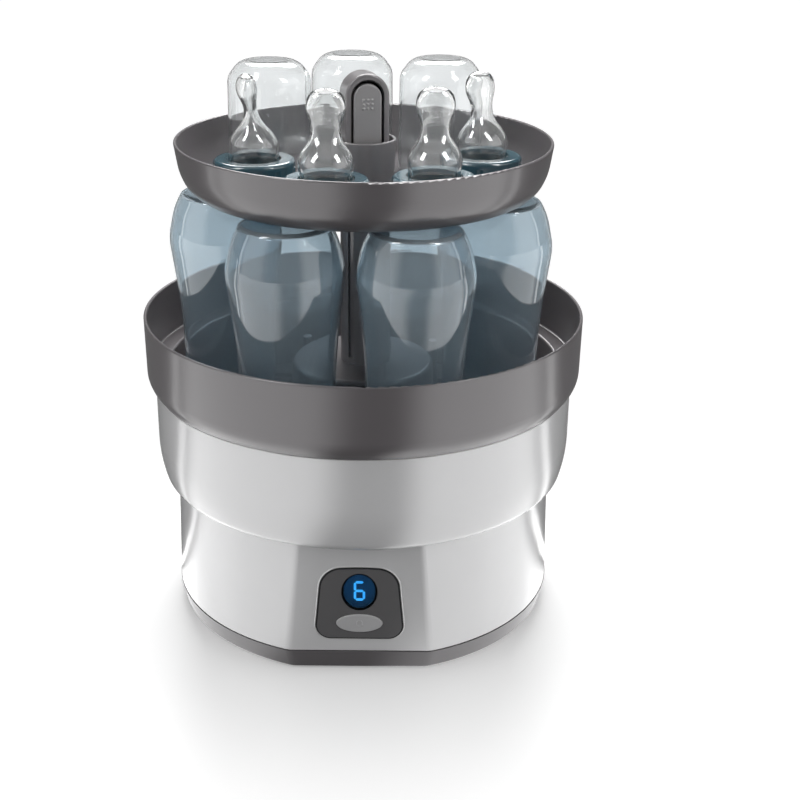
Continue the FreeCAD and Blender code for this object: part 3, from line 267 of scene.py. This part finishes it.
plastics = {
    "whiteShell": {"colour": (0.83, 0.83, 0.84), "rough": 0.25, "coat": 1.0, "coatRough": 0.2, "coatIor": 1.75,
                   "ior": 1.5},
    "whiteBowl": {"colour": (0.8, 0.8, 0.8), "rough": 0.34},
    "darkShell": {"colour": (0.166, 0.154, 0.161), "rough": 0.28, "roughSpread": 0.02, "coat": 0.4,
                  "coatRough": 0.17, "ior": 1.5},
    "socketFace": {"colour": (0.25, 0.238, 0.245), "rough": 0.28, "roughSpread": 0.02, "coat": 0.4,
                   "coatRough": 0.17},
    "darkFoot": {"colour": (0.18, 0.17, 0.177), "rough": 0.36, "coat": 0.1},
    "panelFace": {"colour": (0.165, 0.163, 0.167), "rough": 0.24, "coat": 0.8, "coatRough": 0.06},
    "buttonFace": {"colour": (0.6, 0.6, 0.61), "rough": 0.3, "coat": 0.25},
    # white of the cut-out's rolled edge, whiter than the housing's own white: painted highlight along the bead,
    # beside its strong gloss
    "beadWhiteAndHighlight": {"colour": (0.9, 0.9, 0.9), "rough": 0.25, "coat": 1.0, "coatRough": 0.15, "coatIor": 2.4},
    # grey of the grip dots' heads, lighter than the lever they are moulded on: painted highlight on the raised
    # heads, beside their gloss
    "dotFaceAndHighlight": {"colour": (0.5, 0.49, 0.49), "rough": 0.25, "coat": 0.5},
    # near-black finish of the tongs' lining: painted shade, a dark sheet put in the recess between frame and lever
    # where there is only shade
    "recessPaintedShade": {"colour": (0.012, 0.012, 0.013), "rough": 0.45},
    "leverFace": {"colour": (0.4, 0.39, 0.395), "rough": 0.34, "coat": 0.3},
    "paleParts": {"colour": (0.7, 0.69, 0.66), "rough": 0.5},
    "blackParts": {"colour": (0.03, 0.03, 0.032), "rough": 0.5},
    "ringTeal": {"colour": (0.05, 0.12, 0.155), "rough": 0.16, "coat": 0.6, "coatRough": 0.03},
}
glasses = {
    "blueBottle": {"colour": (0.685, 0.785, 0.845), "rough": 0.015, "ior": 1.48, "through": 0.87, "coat": 0.3},
    "clearCap": {"colour": (0.95, 0.965, 0.97), "rough": 0.008, "ior": 1.45, "through": 0.97},
    "clearTeat": {"colour": (0.96, 0.97, 0.97), "rough": 0.02, "ior": 1.48, "through": 0.96, "coat": 1.0},
    "windowLens": {"colour": (0.13, 0.42, 0.7), "rough": 0.01, "ior": 1.49},
}
steels = {"steel": 0.2, "elementMetal": 0.38}
rubbers = {"footRubber": (0.02, 0.02, 0.02), "sealRubber": (0.006, 0.006, 0.007), "redSleeve": (0.3, 0.02, 0.015)}
finishes = {name: mouldedPlastic(name, look) for name, look in plastics.items()}
finishes.update({name: clearMoulding(name, look) for name, look in glasses.items()})
finishes.update({name: brushedSteel(name, rough) for name, rough in steels.items()})
finishes.update({name: rubberSkin(name, colour) for name, colour in rubbers.items()})
for make in (displayCase, litDigit, circuitBoard):
    finishes[make.__name__] = make(make.__name__)
print("finishes made:", len(finishes))

starts = ("bottle_", "cap_", "teat_", "ring_")
loads = {start: [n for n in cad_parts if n.startswith(start)] for start in starts}
wearsFinish = {
    "whiteShell": ["base_housing", "bowl_housing"],
    "whiteBowl": ["water_bowl"],
    "darkShell": ["bottle_basket", "bottle_rack", "upper_tray"],
    "socketFace": ["column", "tongs_socket", "tongs_frame"],
    "darkFoot": ["bottom_cover"],
    "panelFace": ["control_panel"],
    "buttonFace": ["power_button"],
    # the lining wears the painted shade of the recess
    "recessPaintedShade": ["tongs_lining"],
    "leverFace": ["tongs_lever"],
    "paleParts": ["terminal_block", "switch_plunger"],
    "blackParts": ["relay", "thermostat", "cord_gland", "gland_nut", "button_switch"],
    "steel": ["heating_plate", "clamp_ring", "plate_screws", "bottom_screws", "board_screws", "column_screw",
              "tongs_pin", "tongs_spring", "thermal_fuse"],
    "elementMetal": ["heating_element"],
    "footRubber": ["rubber_feet"],
    "sealRubber": ["plate_seal", "panel_gasket"],
    "redSleeve": ["heater_leads"],
    "displayCase": ["display_module"],
    "litDigit": ["display_digit"],
    "circuitBoard": ["power_board", "control_board"],
    "windowLens": ["display_window"],
    "blueBottle": [n for n in loads["bottle_"] if n not in ("bottle_basket", "bottle_rack")],
    "clearCap": loads["cap_"],
    "clearTeat": loads["teat_"],
    "ringTeal": loads["ring_"],
}


def dressNodes():
    for finishName, nodes in wearsFinish.items():
        for node in nodes:
            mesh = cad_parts[node].data
            mesh.materials.clear()
            mesh.materials.append(finishes[finishName])


dressNodes()
print("nodes dressed")


# ---------- small pieces

def addPiece(name, points, faces, finish, body):
    mesh = bpy.data.meshes.new(name)
    mesh.from_pydata([tuple(p) for p in points], [], faces)
    mesh.polygons.foreach_set("use_smooth", [True] * len(mesh.polygons))
    mesh.materials.append(finishes[finish])
    made = bmesh.new()
    made.from_mesh(mesh)
    bmesh.ops.recalc_face_normals(made, faces=made.faces)
    made.to_mesh(mesh)
    made.free()
    obj = bpy.data.objects.new(name, mesh)
    scene.collection.objects.link(obj)
    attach(obj, body)


# rolled edge of the housing's cut-out, in mm: its section's rows give the way out from the gasket and the height
# over the housing's flat face, and corners closer than the step are left out
cutoutEdge = {"rows": [(0.08, -0.3), (0.12, 0.1), (0.3, 0.28), (0.55, 0.3), (0.75, 0.16), (0.85, -0.3)],
              "faceY": -117.0, "skin": 0.9, "step": 0.1}


def frontOutline(node, skin, step):
    # corners, in order, of a convex face that looks along -Y
    places = [v.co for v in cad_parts[node].data.vertices]
    front = min(p.y for p in places)
    flat = [Vector((p.x, p.z)) for p in places if p.y < front + skin * mm]
    order = geometry.convex_hull_2d(flat)
    corners = [flat[i] for i in order]
    return [c for i, c in enumerate(corners) if (c - corners[i - 1]).length > step * mm]


def addCutoutEdge():
    corners = frontOutline("panel_gasket", cutoutEdge["skin"], cutoutEdge["step"])
    count = len(corners)
    middle = sum(corners, Vector((0, 0))) / count
    points = []
    for i, corner in enumerate(corners):
        along = (corners[(i + 1) % count] - corners[i - 1]).normalized()
        out = Vector((along.y, -along.x))
        if out.dot(corner - middle) < 0:
            out = -out
        for away, height in cutoutEdge["rows"]:
            place = corner + out * away * mm
            points.append((place.x, (cutoutEdge["faceY"] - height) * mm, place.y))
    rows = len(cutoutEdge["rows"])
    faces = []
    for i in range(count):
        after = (i + 1) % count
        for j in range(rows):
            k = (j + 1) % rows
            faces.append((i * rows + j, i * rows + k, after * rows + k, after * rows + j))
    # the bead wears the painted highlight finish
    addPiece("cutout_edge", points, faces, "beadWhiteAndHighlight", "base")


# polished heads of the lever's grip dots, a lighter grey than the lever as a painted highlight, in mm and degrees,
# on the lever's turned face
gripDots = {
    "top": 332.3, "pitch": 2.6, "across": (-1, 0, 1), "down": (0, 1, 2), "radius": 0.95, "height": 0.7,
    "faceY": -9.95, "turn": 14.0, "sides": 20, "rings": 5,
}


def domeAt(x, z, dots, start):
    # one low dome on a flat back: rings from its foot upwards, and its tip
    sides, rings = dots["sides"], dots["rings"]
    points, faces = [], []
    for ring in range(rings):
        lift = math.pi / 2 * ring / rings
        radius, height = dots["radius"] * math.cos(lift), dots["height"] * math.sin(lift)
        for side in range(sides):
            angle = 2 * math.pi * side / sides
            points.append((x + radius * math.cos(angle), dots["faceY"] - height, z + radius * math.sin(angle)))
    points.append((x, dots["faceY"] - dots["height"], z))
    for ring in range(rings - 1):
        low, high = start + ring * sides, start + (ring + 1) * sides
        for side in range(sides):
            after = (side + 1) % sides
            faces.append((low + side, low + after, high + after, high + side))
    last, tip = start + (rings - 1) * sides, start + rings * sides
    faces += [(last + side, last + (side + 1) % sides, tip) for side in range(sides)]
    faces.append(tuple(start + side for side in range(sides)))
    return points, faces


def addGripDots():
    turn = Matrix.Rotation(math.radians(gripDots["turn"]), 3, "Z")
    points, faces = [], []
    for column in gripDots["across"]:
        for row in gripDots["down"]:
            x, z = column * gripDots["pitch"], gripDots["top"] - row * gripDots["pitch"]
            domePoints, domeFaces = domeAt(x, z, gripDots, len(points))
            points += [turn @ (Vector(p) * mm) for p in domePoints]
            faces += domeFaces
    addPiece("grip_dots", points, faces, "dotFaceAndHighlight", "tongs_lever")


addCutoutEdge()
addGripDots()
print("small pieces added")


# ---------- studio

# angles are in radians from the front, and floor sizes in metres; a lamp's row is its name, place, target, width,
# height, watts and whether it lights matt surfaces
studio = {
    "floorSeen": 0.78, "floorBounce": 0.22, "floorMirrored": 0.08, "floorGlow": 0.26, "floorFade": (0.1, 0.29),
    "floorHalf": 6.0, "floorGrain": 0.4, "floorShade": (0.99, 0.02), "floorRough": 0.32, "floorGloss": 0.35,
    "ambient": 0.08, "sideGlow": 1.62, "sideTop": (0.62, 0.72), "topGlow": 0.62, "topStart": (0.75, 0.9),
    "boxStart": (0.45, 0.9), "boxEnd": (1.42, 1.7), "strip": (1.6, 1.63, 1.7, 1.73), "stripGlow": 2.4,
    "sheetStart": (0.14, 0.5), "sheetEnd": (1.5, 1.72), "sheetStrip": (1.69, 1.72, 1.79, 1.82), "sheetGlow": 2.1,
    "sheetLine": 2.4, "sheetSkew": 0.2, "skewFrom": 0.2,
    "lamps": [
        ("backBox", (0.0, 0.95, 1.25), (0, 0, 0.1), 1.1, 0.6, 30.0, True),
        ("leftShine", (-0.62, -0.42, 1.05), (0, 0, 0.25), 0.22, 0.5, 5.0, False),
        ("rightShine", (0.62, -0.42, 1.05), (0, 0, 0.25), 0.22, 0.5, 5.0, False),
    ],
}
view = {"azimuth": 1.25, "elevation": 22.49, "yaw": -1.6, "roll": 0.7, "distance": 0.92638, "targetZ": 0.13319,
        "lens": 62.91}


def lookAlong(obj, direction):
    obj.rotation_mode = "QUATERNION"
    obj.rotation_quaternion = direction.to_track_quat("-Z", "Y")


def makeCamera():
    data = bpy.data.cameras.new("camera")
    camera = bpy.data.objects.new("camera", data)
    scene.collection.objects.link(camera)
    scene.camera = camera
    data.sensor_width = 36.0
    data.lens = view["lens"]
    turn = math.radians(view["azimuth"])
    tilt = math.radians(view["elevation"])
    back = Vector((math.sin(turn) * math.cos(tilt), -math.cos(turn) * math.cos(tilt), math.sin(tilt)))
    camera.location = Vector((0, 0, view["targetZ"])) + back * view["distance"]
    lookAlong(camera, Matrix.Rotation(math.radians(view["yaw"]), 3, "Z") @ -back)
    camera.rotation_quaternion = camera.rotation_quaternion @ Quaternion((0, 0, 1), math.radians(view["roll"]))


def makeLamp(name, place, target, width, height, watts, lightsMatt):
    data = bpy.data.lights.new(name, "AREA")
    data.shape = "RECTANGLE"
    data.size = width
    data.size_y = height
    data.energy = watts
    lamp = bpy.data.objects.new(name, data)
    scene.collection.objects.link(lamp)
    lamp.location = place
    lamp.visible_diffuse = lightsMatt
    lookAlong(lamp, Vector(target) - Vector(place))


def sideBoxes(finish, x, y, start, end, strip):
    # the glow of the side boxes by the angle from the front: none at the front and behind, and one strong strip
    across = finish.node("Math", {"operation": "ABSOLUTE"}, {0: x})
    angle = finish.node("Math", {"operation": "ARCTAN2"}, {0: across, 1: y * -1.0})
    line = finish.range(angle, strip[0], strip[1]) * finish.range(angle, strip[2], strip[3], 1.0, 0.0)
    return finish.range(angle, *start) * finish.range(angle, *end, 1.0, 0.0), line


def seenRays(finish, *kinds):
    path = finish.node("LightPath").socket.node
    wires = [Wire(finish, path.outputs[kind]) for kind in kinds]
    seen = wires[0]
    for wire in wires[1:]:
        seen = finish.node("Math", {"operation": "MAXIMUM"}, {0: seen, 1: wire})
    return seen


def makeWorld():
    world = bpy.data.worlds.new("studio")
    scene.world = world
    finish = Finish("studio", world)
    split = finish.node("SeparateXYZ", None, {0: finish.node("TexCoord", out=0)}).socket.node
    x, y, z = [Wire(finish, socket) for socket in split.outputs]
    boxes, line = sideBoxes(finish, x, y, studio["boxStart"], studio["boxEnd"], studio["strip"])
    below = finish.range(z, *studio["sideTop"], 1.0, 0.0)
    sides = (boxes * studio["sideGlow"] + line * studio["stripGlow"]) * below
    light = studio["ambient"] + sides + finish.range(z, *studio["topStart"]) * studio["topGlow"]
    seen = seenRays(finish, "Is Camera Ray", "Is Transmission Ray")
    strength = seen + (1.0 - seen) * light
    back = finish.node("Background", None, {"Color": rgb(1, 1, 1), "Strength": strength})
    finish.node("OutputWorld", None, {"Surface": back})


def makeFloor():
    mesh = bpy.data.meshes.new("floor")
    half = studio["floorHalf"]
    mesh.from_pydata([(-half, -half, 0), (half, -half, 0), (half, half, 0), (-half, half, 0)], [], [(0, 1, 2, 3)])
    floor = bpy.data.objects.new("floor", mesh)
    scene.collection.objects.link(floor)
    finish = Finish("floorSheet")
    grain = finish.noise(studio["floorGrain"], 1.0)
    x, y, z = finish.axes()
    seen = seenRays(finish, "Is Camera Ray", "Is Transmission Ray")
    leaning = x + (y + studio["skewFrom"]) * studio["sheetSkew"]
    boxes, line = sideBoxes(finish, leaning, y, studio["sheetStart"], studio["sheetEnd"], studio["sheetStrip"])
    glossy = seenRays(finish, "Is Glossy Ray")
    mirrored = glossy * (boxes * studio["sheetGlow"] + line * studio["sheetLine"])
    away = finish.node("VectorMath", {"operation": "LENGTH"}, {0: finish.coords()}, out=1)
    fade = finish.range(away, *studio["floorFade"])
    glow = seen * (studio["floorGlow"] + fade * (1.0 - studio["floorGlow"])) + (1.0 - seen) * mirrored
    white = finish.node("CombineColor", None, {0: glow, 1: glow, 2: glow})
    bounce = studio["floorBounce"] - glossy * (studio["floorBounce"] - studio["floorMirrored"])
    shade, spread = studio["floorShade"]
    tone = (bounce * (1.0 - seen) + seen * (1.0 - fade) * studio["floorSeen"]) * (shade + grain * spread)
    values = {
        "Base Color": finish.node("CombineColor", None, {0: tone, 1: tone, 2: tone}),
        "Roughness": studio["floorRough"],
        "Specular IOR Level": studio["floorGloss"],
        "Emission Color": white,
        "Emission Strength": 1.0,
    }
    mesh.materials.append(finish.surface(values))


makeCamera()
for lamp in studio["lamps"]:
    makeLamp(*lamp)
makeWorld()
makeFloor()
print("studio set")
